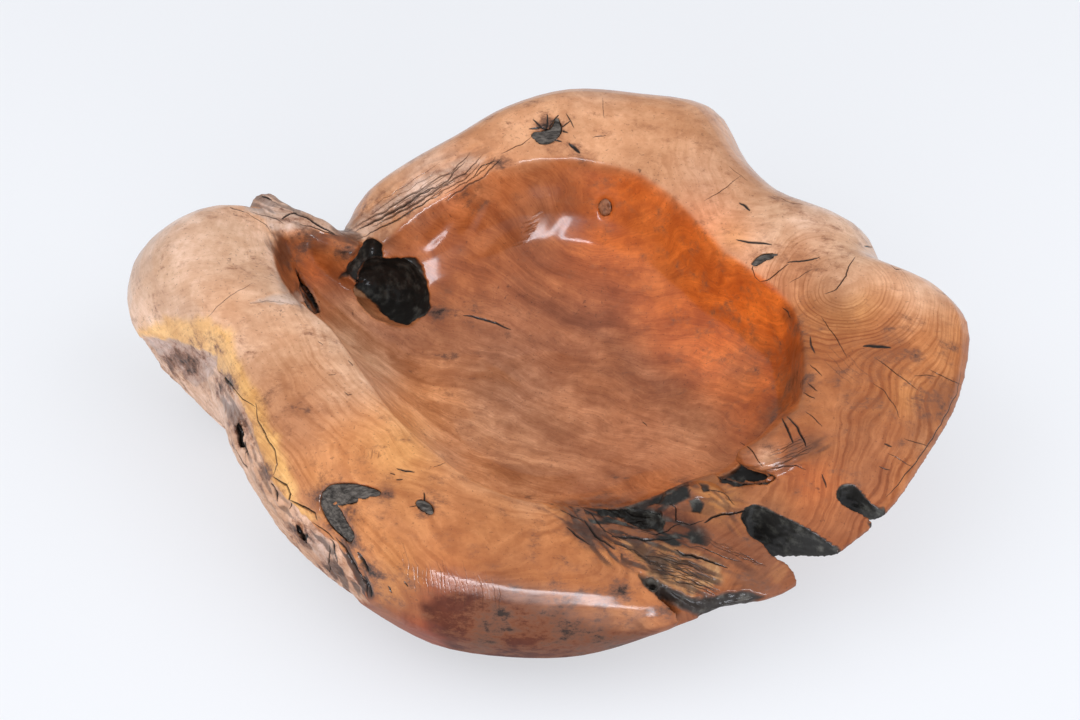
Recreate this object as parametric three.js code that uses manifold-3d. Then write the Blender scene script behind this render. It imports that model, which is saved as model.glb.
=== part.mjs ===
// A wide wooden bowl carved from one swollen root burr, with its natural lobes, horn and bark pockets.
// Millimetres, +Z up. The origin is the middle of the flat base, +X is the long side and the lowest
// part of the rim faces -Y.
import * as THREE from "three";
import { mergeVertices } from "three/addons/utils/BufferGeometryUtils.js";
import Module from "manifold-3d";

const wasm = await Module();
wasm.setup();

const LENGTH = 701; // over the left and right lobes
const WIDTH = 556; // from the front lobe to the back lobe
const HEIGHT = 193; // to the top of the back lobe
const FLOOR_THICKNESS = 42; // wood left under the deepest point of the hollow
const CLEARANCE = 0.35; // gap round a trapped piece in its socket
const SLIVER = 0.03; // faces that leave the shape this close to the same are merged
const STEPS_PER_STATION = 4; // columns of the lofted skin between two stations
const SPINE_STEPS = 4; // rings of a limb between two of its stops
const LIMB_SIDES = 18; // corners round the cross-section of a limb that is added
const CUT_SIDES = 12; // and of one that is cut away

// The tables below are drawn in millimetres on a bowl of 701 x 556 x 193, and this fits them to the sizes.
const STRETCH = new THREE.Vector3(LENGTH / 701, WIDTH / 556, HEIGHT / 193);

// One profile of the bowl every few degrees, azimuth from +X towards +Y.
// edge is the widest point, crest the top of the rim and lip the start of the hollow, each as
// [radius, height]. foot is the radius of the flat base. wall is how much of the lip's radius
// is left halfway down the hollow: near 1 for a steep wall. belly is a point between foot and edge,
// as shares of the way out and of the way up.
const STATIONS = [
  // right lobe: a broad shelf with a thin outer edge
  { az: 0, foot: 175, edge: [350, 134], crest: [272, 163], lip: [207, 151], wall: 0.93 },
  { az: 7, foot: 170, edge: [332, 134], crest: [266, 165], lip: [190, 152], wall: 0.93 },
  { az: 13, foot: 166, edge: [302, 124], crest: [252, 164], lip: [181, 154], wall: 0.93 },
  { az: 22, foot: 160, edge: [302, 124], crest: [246, 168], lip: [167, 155], wall: 0.92, belly: [0.76, 0.3] },
  // shallow saddle between the right lobe and the back lobe
  { az: 36, foot: 146, edge: [272, 118], crest: [220, 166], lip: [164, 159], wall: 0.9, belly: [0.88, 0.28] },
  { az: 47, foot: 152, edge: [276, 124], crest: [218, 173], lip: [167, 165], wall: 0.88 },
  // back lobe: the highest part of the rim
  { az: 59, foot: 152, edge: [309, 136], crest: [239, 184], lip: [169, 170], wall: 0.86, belly: [0.7, 0.34] },
  { az: 71, foot: 156, edge: [288, 140], crest: [232, 190], lip: [169, 172], wall: 0.85 },
  { az: 84, foot: 150, edge: [277, 142], crest: [221, 193], lip: [167, 173], wall: 0.85, belly: [0.88, 0.38] },
  { az: 97, foot: 140, edge: [256, 138], crest: [208, 188], lip: [163, 171], wall: 0.85, belly: [0.74, 0.3] },
  { az: 110, foot: 142, edge: [234, 128], crest: [193, 179], lip: [156, 166], wall: 0.84 },
  { az: 122, foot: 146, edge: [233, 118], crest: [192, 167], lip: [155, 157], wall: 0.83, belly: [0.88, 0.42] },
  { az: 132, foot: 145, edge: [238, 106], crest: [198, 149], lip: [164, 144], wall: 0.82 },
  // low gap behind the horn
  { az: 141, foot: 140, edge: [236, 86], crest: [200, 121], lip: [178, 120], wall: 0.82, belly: [0.72, 0.3] },
  { az: 149, foot: 152, edge: [266, 104], crest: [238, 141], lip: [211, 134], wall: 0.84 },
  // left lobe: a heavy rounded swelling
  { az: 157, foot: 158, edge: [333, 112], crest: [286, 163], lip: [240, 147], wall: 0.84 },
  { az: 165, foot: 165, edge: [358, 112], crest: [292, 175], lip: [230, 153], wall: 0.82, belly: [0.74, 0.44] },
  { az: 173, foot: 165, edge: [349, 103], crest: [290, 175], lip: [212, 155], wall: 0.8 },
  { az: 182, foot: 160, edge: [299, 98], crest: [271, 172], lip: [190, 159], wall: 0.78, belly: [0.9, 0.4] },
  { az: 191, foot: 156, edge: [271, 96], crest: [249, 168], lip: [171, 160], wall: 0.78 },
  { az: 202, foot: 146, edge: [269, 98], crest: [232, 164], lip: [163, 159], wall: 0.79, belly: [0.74, 0.28] },
  // front lobe: a long roll that drops towards the front
  { az: 214, foot: 152, edge: [266, 96], crest: [225, 158], lip: [161, 155], wall: 0.81 },
  { az: 226, foot: 158, edge: [264, 92], crest: [227, 152], lip: [164, 149], wall: 0.83, belly: [0.88, 0.38] },
  { az: 239, foot: 156, edge: [271, 87], crest: [236, 146], lip: [169, 143], wall: 0.85 },
  { az: 252, foot: 154, edge: [282, 83], crest: [246, 139], lip: [180, 136], wall: 0.87, belly: [0.8, 0.28] },
  { az: 265, foot: 158, edge: [280, 76], crest: [246, 130], lip: [186, 128], wall: 0.88 },
  { az: 277, foot: 158, edge: [279, 75], crest: [248, 121], lip: [186, 119], wall: 0.89 },
  { az: 288, foot: 156, edge: [285, 77], crest: [253, 110], lip: [189, 111], wall: 0.9, belly: [0.76, 0.42] },
  // front slab and the tongue beside it
  { az: 298, foot: 154, edge: [290, 83], crest: [251, 108], lip: [190, 110], wall: 0.9, belly: [0.72, 0.5] },
  { az: 307, foot: 154, edge: [307, 88], crest: [256, 110], lip: [191, 110], wall: 0.9, belly: [0.66, 0.52] },
  { az: 316, foot: 158, edge: [312, 95], crest: [262, 115], lip: [203, 112], wall: 0.91, belly: [0.55, 0.56] },
  { az: 325, foot: 164, edge: [324, 108], crest: [270, 131], lip: [222, 126], wall: 0.92, belly: [0.5, 0.6] },
  { az: 335, foot: 170, edge: [330, 116], crest: [274, 144], lip: [226, 140], wall: 0.93, belly: [0.5, 0.6] },
  { az: 347, foot: 174, edge: [343, 125], crest: [276, 155], lip: [217, 149], wall: 0.93, belly: [0.6, 0.5] },
];
// Rows of the skin from the foot to the middle of the hollow, one count per span of the profile.
const ROWS_PER_SPAN = [2, 2, 3, 3, 3, 4, 2, 3, 3, 3];
const BELLY = [0.83, 0.34]; // where a station gives none
const FLANK_SWELL = 0.1; // how far the skin bulges between belly and edge, as a share of their heights apart
const SHOULDER = { radius: 0.46, height: 0.74 }; // between edge and crest, the same way
const LIP_ROLL = { inward: 0.014, down: 0.07 }; // shares of the lip's radius and height over the floor
const WALL_HEIGHT = 0.42; // height of the wall's middle, as a share of the lip's height over the floor
const FLOOR_RING = { lip: 0.25, foot: 0.28, rise: 0.06 }; // shares of the two radii and of the height

// Limbs are given by stops along a spine: a place and the half sizes of the section, [wide, tall].
const HORN = [
  { at: [-150, 98, 96], half: [10, 26] },
  { at: [-172, 108, 98], half: [16, 35] },
  { at: [-198, 118, 102], half: [21, 41] },
  { at: [-225, 133, 118], half: [19, 33] },
  { at: [-243, 147, 139], half: [9, 16] },
];
// the buttress that carries the horn down the outside of the wall
const HORN_ROOT = [
  { at: [-235, 142, 130], half: [11, 12] },
  { at: [-230, 138, 104], half: [19, 21] },
  { at: [-218, 130, 70], half: [27, 26] },
  { at: [-194, 114, 38], half: [34, 25] },
  { at: [-156, 92, 22], half: [28, 14] },
];
const LUMP = [
  { at: [262, -78, 112], half: [38, 26] },
  { at: [216, -114, 117], half: [34, 27] },
  { at: [180, -138, 123], half: [21, 17] },
  { at: [155, -142, 124], half: [7, 7] },
];
// a gnarled strand between the charred groove and the notch
const KNUCKLE = [
  { at: [90, -192, 104], half: [7, 9] },
  { at: [103, -171, 106], half: [11, 12] },
  { at: [128, -168, 106], half: [13, 12] },
  { at: [150, -178, 102], half: [9, 9] },
];
const CAVITY = [
  { at: [-102, 62, 89], half: [18, 21] },
  { at: [-116, 80, 85], half: [24, 28] },
  { at: [-132, 96, 80], half: [27, 29] },
  { at: [-152, 108, 74], half: [20, 22] },
  { at: [-168, 112, 70], half: [9, 10] },
];
const CHAR_CLEFT = [
  { at: [-174, 72, 106], half: [2, 6] },
  { at: [-160, 88, 110], half: [6, 14] },
  { at: [-148, 101, 114], half: [9, 18] },
  { at: [-144, 112, 121], half: [7, 14] },
];
const SLIT = [
  { at: [-213, 85, 116], half: [1.5, 8] },
  { at: [-205, 78, 105], half: [3.5, 12] },
  { at: [-196, 68, 96], half: [3.5, 12] },
  { at: [-188, 54, 90], half: [1.5, 8] },
];
const LUMP_GAP = [
  { at: [128, -136, 107], half: [4, 5] },
  { at: [146, -142, 111], half: [7, 7] },
  { at: [164, -150, 113], half: [7, 7] },
  { at: [184, -158, 115], half: [2, 4] },
];
const CHAR_GROOVE = [
  { at: [44, -188, 115], half: [2, 4] },
  { at: [64, -187, 113], half: [7, 10] },
  { at: [80, -194, 112], half: [8, 11] },
  { at: [94, -200, 113], half: [3, 4] },
];
const FRONT_SEAM = [
  { at: [40, -216, 116], half: [1.2, 8] },
  { at: [64, -236, 104], half: [2, 14] },
  { at: [92, -256, 92], half: [3, 20] },
  { at: [122, -268, 76], half: [4, 26] },
  { at: [150, -288, 60], half: [8, 40] },
];
const OUTER_PITS = [
  [
    { at: [-254, -119, 114], half: [7, 10] },
    { at: [-238, -111, 118], half: [7, 10] },
    { at: [-224, -104, 120], half: [3, 5] },
  ],
  [
    { at: [-201, -200, 84], half: [4, 10] },
    { at: [-188, -188, 88], half: [4, 10] },
    { at: [-177, -178, 90], half: [2, 5] },
  ],
];

// Openings cut right through the rim's edge, as outlines in plan.
const SLOT = [
  [226, -177],
  [231, -171],
  [240, -171],
  [248, -178],
  [254, -184],
  [262, -186],
  [300, -204],
  [292, -222],
  [256, -195],
  [250, -190],
  [235, -186],
  [229, -181],
];
const NOTCH = [
  [154, -190],
  [158, -182],
  [164, -179],
  [172, -182],
  [181, -189],
  [195, -197],
  [210, -205],
  [234, -218],
  [300, -250],
  [262, -330],
  [184, -330],
  [184, -262],
  [191, -252],
  [195, -243],
  [193, -234],
  [186, -227],
  [176, -223],
  [169, -214],
  [160, -207],
  [156, -197],
];

const WOOD = { color: 0x9c5a2e, roughness: 0.35, metalness: 0 };
const KNOT_WOOD = { color: 0x4e2c1a, roughness: 0.5, metalness: 0 };
const BARK = { color: 0x2b2723, roughness: 0.85, metalness: 0 };

// Pieces of another material that the burr grew round. sunk is how far the face lies under the skin.
const TRAPPED = [
  {
    name: "encased_knot",
    look: KNOT_WOOD,
    sunk: 0.6,
    stops: [
      { at: [50, 128, 146], half: [6, 8] },
      { at: [57, 150, 128], half: [6, 8] },
      { at: [62, 168, 114], half: [3, 4] },
    ],
  },
  {
    name: "bark_pocket_front_rim",
    look: BARK,
    sunk: 1.5,
    stops: [
      { at: [-120, -197, 142], half: [3, 7] },
      { at: [-144, -192, 138], half: [8, 10] },
      { at: [-160, -189, 131], half: [7, 10] },
      { at: [-154, -200, 121], half: [6, 11] },
      { at: [-141, -216, 114], half: [3, 8] },
    ],
  },
  {
    name: "bark_pocket_front_small",
    look: BARK,
    sunk: 1.2,
    stops: [
      { at: [-92, -203, 139], half: [3, 8] },
      { at: [-86, -207, 139], half: [5, 9] },
      { at: [-81, -213, 137], half: [2, 7] },
    ],
  },
  {
    name: "bark_pocket_back_rim",
    look: BARK,
    sunk: 1.2,
    stops: [
      { at: [-7, 184, 178], half: [3, 8] },
      { at: [4, 182, 177], half: [7, 10] },
      { at: [13, 187, 178], half: [6, 10] },
      { at: [15, 201, 182], half: [2.5, 7] },
    ],
  },
  {
    name: "bark_pocket_right_rim",
    look: BARK,
    sunk: 1.2,
    stops: [
      { at: [176, 47, 151], half: [2, 7] },
      { at: [186, 52, 152], half: [5, 9] },
      { at: [199, 53, 154], half: [2.5, 7] },
    ],
  },
];
const CUT_HEIGHT = 1.4 * HEIGHT; // taller than the bowl, for the openings cut in plan

function polar(az, radius, height) {
  const a = THREE.MathUtils.degToRad(az);
  return new THREE.Vector3(radius * Math.cos(a), radius * Math.sin(a), height).multiply(STRETCH);
}

// The named points of one profile, from the foot up over the rim and down to the hollow's floor.
function profilePoints(station) {
  const { az, foot, edge, crest, lip, wall, belly = BELLY } = station;
  const floor = FLOOR_THICKNESS / STRETCH.z;
  const drop = lip[1] - floor;
  const bellyPoint = [foot + (edge[0] - foot) * belly[0], edge[1] * belly[1]];
  const flank = [
    (bellyPoint[0] + edge[0]) / 2 + FLANK_SWELL * (edge[1] - bellyPoint[1]),
    (bellyPoint[1] + edge[1]) / 2,
  ];
  const shoulder = [
    edge[0] + (crest[0] - edge[0]) * SHOULDER.radius,
    edge[1] + (crest[1] - edge[1]) * SHOULDER.height,
  ];
  const points = [
    [foot, 0],
    bellyPoint,
    flank,
    edge,
    shoulder,
    crest,
    lip,
    [lip[0] * (1 - LIP_ROLL.inward), lip[1] - drop * LIP_ROLL.down],
    [lip[0] * wall, floor + drop * WALL_HEIGHT],
    [lip[0] * FLOOR_RING.lip + foot * FLOOR_RING.foot, floor + drop * FLOOR_RING.rise],
  ];
  return points.map(([radius, height]) => polar(az, radius, height));
}

// A closed skin from rings of points, with one point closing each end.
function skinOf(rings, firstPole, lastPole) {
  const sides = rings[0].length;
  const points = [firstPole, ...rings.flat(), lastPole];
  const at = (ring, side) => 1 + ring * sides + (side % sides);
  const last = points.length - 1;
  const index = [];
  for (let side = 0; side < sides; side++) {
    index.push(0, at(0, side + 1), at(0, side));
    for (let ring = 0; ring + 1 < rings.length; ring++) {
      const [a, b] = [at(ring, side), at(ring, side + 1)];
      const [c, d] = [at(ring + 1, side + 1), at(ring + 1, side)];
      index.push(a, b, c, a, c, d);
    }
    index.push(last, at(rings.length - 1, side), at(rings.length - 1, side + 1));
  }
  return new THREE.BufferGeometry().setFromPoints(points).setIndex(index);
}

function burr() {
  const profiles = STATIONS.map(profilePoints);
  const lines = profiles[0].map(
    (_, i) => new THREE.CatmullRomCurve3(profiles.map((p) => p[i]), true, "centripetal"),
  );
  const columns = STATIONS.length * STEPS_PER_STATION;
  const floorMiddle = new THREE.Vector3(0, 0, FLOOR_THICKNESS);
  const rows = ROWS_PER_SPAN.flatMap((count, span) =>
    Array.from({ length: count }, (_, i) => (span + i / count) / ROWS_PER_SPAN.length),
  );
  const rings = rows.map(() => []);
  for (let column = 0; column < columns; column++) {
    const along = lines.map((line) => line.getPoint(column / columns));
    const section = new THREE.CatmullRomCurve3([...along, floorMiddle], false, "centripetal");
    rows.forEach((t, row) => rings[row].push(section.getPoint(t)));
  }
  return skinOf(rings, new THREE.Vector3(0, 0, 0), floorMiddle);
}

// A bent, tapering solid along its stops. grow makes it that much bigger all round.
function limb(stops, sides, grow = 0) {
  const spine = new THREE.CatmullRomCurve3(
    stops.map((s) => new THREE.Vector3(...s.at).multiply(STRETCH)),
  );
  const sizes = new THREE.CatmullRomCurve3(
    stops.map((s) => new THREE.Vector3(s.half[0] * STRETCH.x, s.half[1] * STRETCH.z, 0)),
  );
  const up = new THREE.Vector3(0, 0, 1);
  const count = (stops.length - 1) * SPINE_STEPS;
  const rings = [];
  for (let i = 0; i <= count; i++) {
    const middle = spine.getPoint(i / count);
    const size = sizes.getPoint(i / count);
    const side = spine.getTangent(i / count).cross(up).normalize();
    const lift = side.clone().cross(spine.getTangent(i / count)).normalize();
    rings.push(
      Array.from({ length: sides }, (_, k) => {
        const turn = (-2 * Math.PI * k) / sides;
        return middle
          .clone()
          .addScaledVector(side, (size.x + grow) * Math.cos(turn))
          .addScaledVector(lift, (size.y + grow) * Math.sin(turn));
      }),
    );
  }
  const reach = (t, sign) => {
    const size = sizes.getPoint(t);
    const tip = spine.getPoint(t);
    return tip.addScaledVector(spine.getTangent(t), sign * (0.6 * size.x + 1.5 * grow));
  };
  return skinOf(rings, reach(0, -1), reach(1, 1));
}

function cutInPlan(outline) {
  const shape = new THREE.Shape(outline.map(([x, y]) => new THREE.Vector2(x * STRETCH.x, y * STRETCH.y)));
  const cut = new THREE.ExtrudeGeometry(shape, { depth: CUT_HEIGHT, bevelEnabled: false });
  cut.translate(0, 0, -CUT_HEIGHT / 4);
  cut.deleteAttribute("normal");
  cut.deleteAttribute("uv");
  return mergeVertices(cut, 1e-3);
}

function solidOf(geometry) {
  const solid = new wasm.Manifold(
    new wasm.Mesh({
      numProp: 3,
      vertProperties: geometry.attributes.position.array,
      triVerts: new Uint32Array(geometry.index.array),
    }),
  );
  if (solid.volume() < 0) throw new Error("a skin is inside out");
  return solid;
}

function geometryOf(solid) {
  const mesh = solid.getMesh();
  const geometry = new THREE.BufferGeometry();
  geometry.setAttribute("position", new THREE.BufferAttribute(mesh.vertProperties, 3));
  geometry.setIndex(new THREE.BufferAttribute(mesh.triVerts, 1));
  return mergeVertices(geometry, 1e-3);
}

function named(name, solid, look) {
  const mesh = new THREE.Mesh(geometryOf(solid), new THREE.MeshStandardMaterial(look));
  mesh.name = name;
  mesh.geometry.computeVertexNormals();
  return mesh;
}

const burrWithLobes = [HORN, HORN_ROOT, LUMP, KNUCKLE].reduce(
  (body, stops) => body.add(solidOf(limb(stops, LIMB_SIDES))),
  solidOf(burr()),
);
const hollows = [CAVITY, CHAR_CLEFT, SLIT, LUMP_GAP, CHAR_GROOVE, FRONT_SEAM, ...OUTER_PITS];
const cuts = [...hollows.map((stops) => limb(stops, CUT_SIDES)), cutInPlan(SLOT), cutInPlan(NOTCH)];
const carved = cuts.reduce((body, cut) => body.subtract(solidOf(cut)), burrWithLobes);
const socketed = TRAPPED.reduce(
  (body, piece) => body.subtract(solidOf(limb(piece.stops, CUT_SIDES, CLEARANCE))),
  carved,
);

const bowl = new THREE.Group();
bowl.name = "root_burr_bowl";
bowl.add(named("bowl_body", socketed.simplify(SLIVER), WOOD));
for (const piece of TRAPPED) {
  const lowered = carved.translate([0, 0, -piece.sunk * STRETCH.z]);
  bowl.add(named(piece.name, solidOf(limb(piece.stops, CUT_SIDES)).intersect(lowered), piece.look));
}

export default bowl;
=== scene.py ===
import math
import random

import bmesh
import bpy
import numpy as np
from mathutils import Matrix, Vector, kdtree, noise
from mathutils.bvhtree import BVHTree


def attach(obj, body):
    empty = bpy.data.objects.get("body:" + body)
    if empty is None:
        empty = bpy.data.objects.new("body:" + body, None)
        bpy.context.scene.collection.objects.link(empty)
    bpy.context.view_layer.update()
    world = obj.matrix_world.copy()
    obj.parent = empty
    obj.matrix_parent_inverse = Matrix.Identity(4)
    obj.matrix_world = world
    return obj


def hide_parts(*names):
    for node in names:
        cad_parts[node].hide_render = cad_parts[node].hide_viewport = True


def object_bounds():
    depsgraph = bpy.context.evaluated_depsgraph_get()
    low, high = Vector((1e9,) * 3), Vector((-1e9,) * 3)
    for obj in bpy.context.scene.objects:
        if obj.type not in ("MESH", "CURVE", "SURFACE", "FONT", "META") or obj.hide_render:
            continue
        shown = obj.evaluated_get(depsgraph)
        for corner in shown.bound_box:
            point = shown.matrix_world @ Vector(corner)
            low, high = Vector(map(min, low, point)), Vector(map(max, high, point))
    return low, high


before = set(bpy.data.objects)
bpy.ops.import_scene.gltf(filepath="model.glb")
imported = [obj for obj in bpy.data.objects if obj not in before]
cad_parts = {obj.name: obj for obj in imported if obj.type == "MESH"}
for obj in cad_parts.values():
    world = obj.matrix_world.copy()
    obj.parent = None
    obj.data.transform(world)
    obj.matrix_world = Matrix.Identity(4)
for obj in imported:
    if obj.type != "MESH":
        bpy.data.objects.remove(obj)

MM = 0.001
UP = Vector((0, 0, 1))
FAR = 1e9
cad_box = [list(corner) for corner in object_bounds()]

# The camera stands where the photograph was taken from. Marks that the photograph shows are given in
# its pixels, right and down, and are carried along the camera's rays onto the wood.
CAMERA_AT = Vector((0, -1.2728, 1.3628))
AIM = Vector((0, 0, 0.09))
LENS = 72
SENSOR = 36
PHOTO_WIDTH = 1080
PHOTO_HEIGHT = 720
FOCAL = LENS / SENSOR * PHOTO_WIDTH

VOXEL = 2.2 * MM
PLUG_VOXEL = 1.0 * MM
SMOOTHING_STEPS = 3
MERGE = 0.005 * MM  # vertices of a CAD mesh nearer than this become one
LINE_STEP = 1.5  # pixels between the places at which a line is carried onto the wood
FURROW_STEP = 3
CUT_STRAY = 1.2  # pixels by which a cut strays from side to side
SHEAF_STRAY = 2.0
LONGEST_STEP = 12 * MM  # where a line jumps further, it has gone over an edge, and nothing is cut
EDGE_FADE = 0.45  # how far past the outline the marks fade out, as a cosine of the slant
CLEARANCE = 1.5 * MM  # from the wood to the start of a ray to the camera
EDGE_CLEARANCE = 10 * MM  # the same on the outer flanks, seen edge on

# Where the hollow begins: radius by azimuth, in mm and degrees.
LIP = {
    0: 207, 13: 181, 22: 167, 36: 164, 59: 169, 84: 167, 110: 156, 122: 155, 132: 164, 141: 178,
    149: 211, 157: 240, 165: 230, 173: 212, 182: 190, 191: 171, 202: 163, 226: 164, 252: 180,
    277: 186, 298: 190, 307: 191, 316: 203, 325: 222, 335: 226, 347: 217,
}

# Colours as seen in even light, red green blue out of 255. Three of them, marked below, also carry
# painted light or shade.
# Pale pink wood. On the lobes' rims its paleness is partly painted sheen, and on the left inside wall
# partly painted light.
PALE_PINK_AND_PAINTED_LIGHT = (228, 192, 166)
PEACH = (240, 178, 130)
TAN = (208, 156, 118)
HONEY = (202, 136, 84)
GOLD = (210, 152, 86)
RUSSET = (176, 108, 64)
BROWN = (138, 82, 50)
UMBER = (98, 64, 48)
ORANGE = (230, 122, 44)
FLOOR_BROWN = (176, 116, 80)
# Dark brown of the front roll's underside, partly the wood's own colour and partly painted shade.
ROLL_BROWN_AND_SHADE = (80, 32, 10)
SAPWOOD = (242, 192, 118)
# Pale lilac. Its paleness is partly painted sheen on the lobes and partly painted light on the left
# flank.
LILAC_AND_PAINTED_LIGHT = (234, 202, 184)
RUST = (142, 60, 18)
WEATHERED = (208, 188, 178)
FLANK_GREY = (198, 176, 170)
FIBRE = (182, 146, 106)
STAIN = (74, 38, 24)
CHAR = (32, 30, 27)
CHAR_GREY = (84, 82, 75)
CRACK_BLACK = (24, 18, 14)
BARK_DARK = (42, 37, 33)
BARK_PALE = (106, 98, 90)
KNOT_DARK = (96, 54, 32)
KNOT_PALE = (150, 96, 62)
FLOOR_PAINT = (152, 152, 152)
FLOOR_GLOW = (246, 248, 252)

# The wood's tone by azimuth: on the rim, down the inside wall and down the outside.
# On the rim, the pale pink of the left lobe and the back right lobe is partly painted sheen.
RIM_TONES = {
    0: HONEY, 20: PALE_PINK_AND_PAINTED_LIGHT, 45: TAN, 90: TAN, 120: TAN, 150: TAN, 165: PALE_PINK_AND_PAINTED_LIGHT, 190: PALE_PINK_AND_PAINTED_LIGHT,
    205: TAN, 225: HONEY, 245: HONEY, 270: HONEY, 285: HONEY, 297: BROWN, 310: BROWN, 322: RUSSET,
    345: HONEY,
}
# On the inside wall, the pale pink at the left, from 205 to 230 degrees, is painted light, lightening the
# wall as if more light fell on it.
WALL_TONES = {
    0: ORANGE, 30: ORANGE, 60: ORANGE, 90: RUSSET, 120: RUSSET, 160: RUSSET, 185: TAN, 205: PALE_PINK_AND_PAINTED_LIGHT,
    230: PALE_PINK_AND_PAINTED_LIGHT, 250: TAN, 290: RUSSET, 330: RUSSET,
}
# Down the outside, the pale pink and lilac under the left lobe are partly painted light, and the roll
# brown at the front is partly painted shade.
OUTSIDE_TONES = {
    0: RUSSET, 60: RUSSET, 120: RUSSET, 150: WEATHERED, 170: PALE_PINK_AND_PAINTED_LIGHT, 190: LILAC_AND_PAINTED_LIGHT, 205: LILAC_AND_PAINTED_LIGHT, 222: TAN,
    238: RUST, 255: RUST, 275: ROLL_BROWN_AND_SHADE, 290: BROWN, 320: BROWN,
}

# Soft blooms of colour: place and radius in pixels of the photograph, colour and how much of it.
BLOOMS = [
    # right wall of the hollow and its lip
    (700, 235, 42, ORANGE, 0.6), (745, 305, 40, ORANGE, 0.7), (752, 352, 24, RUSSET, 0.4),
    (782, 368, 18, ORANGE, 0.6), (738, 376, 28, RUSSET, 0.7), (735, 238, 22, HONEY, 0.8),
    # back wall
    (470, 185, 45, ORANGE, 0.3), (480, 190, 18, TAN, 0.5), (560, 180, 30, RUSSET, 0.4),
    (510, 225, 40, BROWN, 0.6), (548, 216, 34, UMBER, 0.45), (645, 215, 30, BROWN, 0.35),
    (420, 216, 20, UMBER, 0.3), (386, 242, 14, UMBER, 0.6), (430, 310, 28, BROWN, 0.4),
    (475, 288, 30, BROWN, 0.3),
    # its floor
    (500, 350, 26, BROWN, 0.2), (620, 285, 56, BROWN, 0.6), (545, 300, 50, BROWN, 0.5),
    (665, 282, 28, BROWN, 0.35), (522, 335, 32, BROWN, 0.4), (690, 335, 30, RUSSET, 0.3),
    (560, 435, 50, TAN, 0.4), (722, 462, 18, BROWN, 0.5), (700, 425, 28, TAN, 0.5),
    # left and front walls; the pale pink and peach blooms on the left of the hollow are painted light,
    # lightening it as if more light fell there
    (440, 382, 44, PEACH, 0.8), (400, 420, 30, PEACH, 0.85), (345, 338, 26, PALE_PINK_AND_PAINTED_LIGHT, 0.8),
    (375, 368, 30, PALE_PINK_AND_PAINTED_LIGHT, 0.7), (302, 302, 16, PALE_PINK_AND_PAINTED_LIGHT, 0.5), (350, 312, 18, TAN, 0.7),
    (500, 400, 46, PALE_PINK_AND_PAINTED_LIGHT, 0.4), (485, 445, 44, TAN, 0.6), (530, 470, 34, TAN, 0.5),
    # right lobe; its pale pink and lilac blooms are partly painted sheen
    (850, 308, 26, GOLD, 0.6), (838, 296, 28, BROWN, 0.55), (850, 362, 34, RUSSET, 0.6),
    (888, 345, 26, RUSSET, 0.6), (938, 398, 24, BROWN, 0.5), (905, 402, 20, GOLD, 0.4),
    (838, 395, 30, RUSSET, 0.4), (895, 425, 30, RUSSET, 0.4), (852, 246, 40, PALE_PINK_AND_PAINTED_LIGHT, 0.8),
    (926, 285, 34, PALE_PINK_AND_PAINTED_LIGHT, 0.6), (860, 438, 30, BROWN, 0.55), (925, 440, 18, TAN, 0.6),
    (940, 355, 20, HONEY, 0.5), (800, 245, 26, HONEY, 0.5), (796, 268, 20, RUSSET, 0.5),
    (816, 214, 24, LILAC_AND_PAINTED_LIGHT, 0.8), (705, 178, 30, LILAC_AND_PAINTED_LIGHT, 0.3),
    # front right
    (800, 500, 34, RUSSET, 0.6), (812, 482, 26, ORANGE, 0.3), (872, 480, 28, BROWN, 0.55),
    (853, 524, 26, BROWN, 0.6), (770, 496, 30, HONEY, 0.4), (772, 514, 16, UMBER, 0.5),
    (720, 540, 40, BROWN, 0.3), (765, 572, 24, UMBER, 0.35), (726, 576, 18, HONEY, 0.5),
    (718, 498, 20, GOLD, 0.6), (772, 438, 16, RUSSET, 0.4), (768, 457, 12, PALE_PINK_AND_PAINTED_LIGHT, 0.6),
    (813, 446, 14, UMBER, 0.5),
    # front and roll; the roll brown bloom low on the roll is partly painted shade
    (400, 445, 34, GOLD, 0.65), (472, 480, 26, PEACH, 0.5), (528, 502, 18, TAN, 0.5),
    (540, 545, 50, RUSSET, 0.4), (450, 518, 34, RUSSET, 0.4), (610, 588, 40, BROWN, 0.5),
    (665, 604, 26, RUSSET, 0.4), (395, 590, 30, GOLD, 0.5), (440, 592, 34, RUST, 0.6),
    (500, 592, 40, BROWN, 0.6), (450, 618, 40, RUST, 0.8), (540, 632, 50, ROLL_BROWN_AND_SHADE, 0.6),
    (506, 599, 12, UMBER, 0.6), (534, 604, 14, UMBER, 0.75), (566, 616, 15, UMBER, 0.75),
    (603, 622, 15, UMBER, 0.7), (636, 624, 12, UMBER, 0.6), (322, 500, 14, UMBER, 0.55),
    (345, 522, 12, UMBER, 0.5), (385, 493, 9, UMBER, 0.5),
    # left rim, left lobe and back rim; their pale pink and lilac blooms are partly painted sheen
    (298, 430, 28, BROWN, 0.45), (312, 404, 18, RUSSET, 0.2), (340, 390, 26, PALE_PINK_AND_PAINTED_LIGHT, 0.4),
    (285, 325, 34, TAN, 0.6), (228, 304, 34, TAN, 0.8), (430, 165, 30, LILAC_AND_PAINTED_LIGHT, 0.6),
    (500, 125, 40, TAN, 0.4), (600, 92, 22, LILAC_AND_PAINTED_LIGHT, 0.6), (600, 122, 32, TAN, 1.0),
    (190, 240, 40, LILAC_AND_PAINTED_LIGHT, 0.5), (168, 305, 30, LILAC_AND_PAINTED_LIGHT, 0.3), (216, 372, 16, UMBER, 0.4),
    (300, 246, 20, ORANGE, 0.4), (314, 274, 14, ORANGE, 0.5),
]

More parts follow.
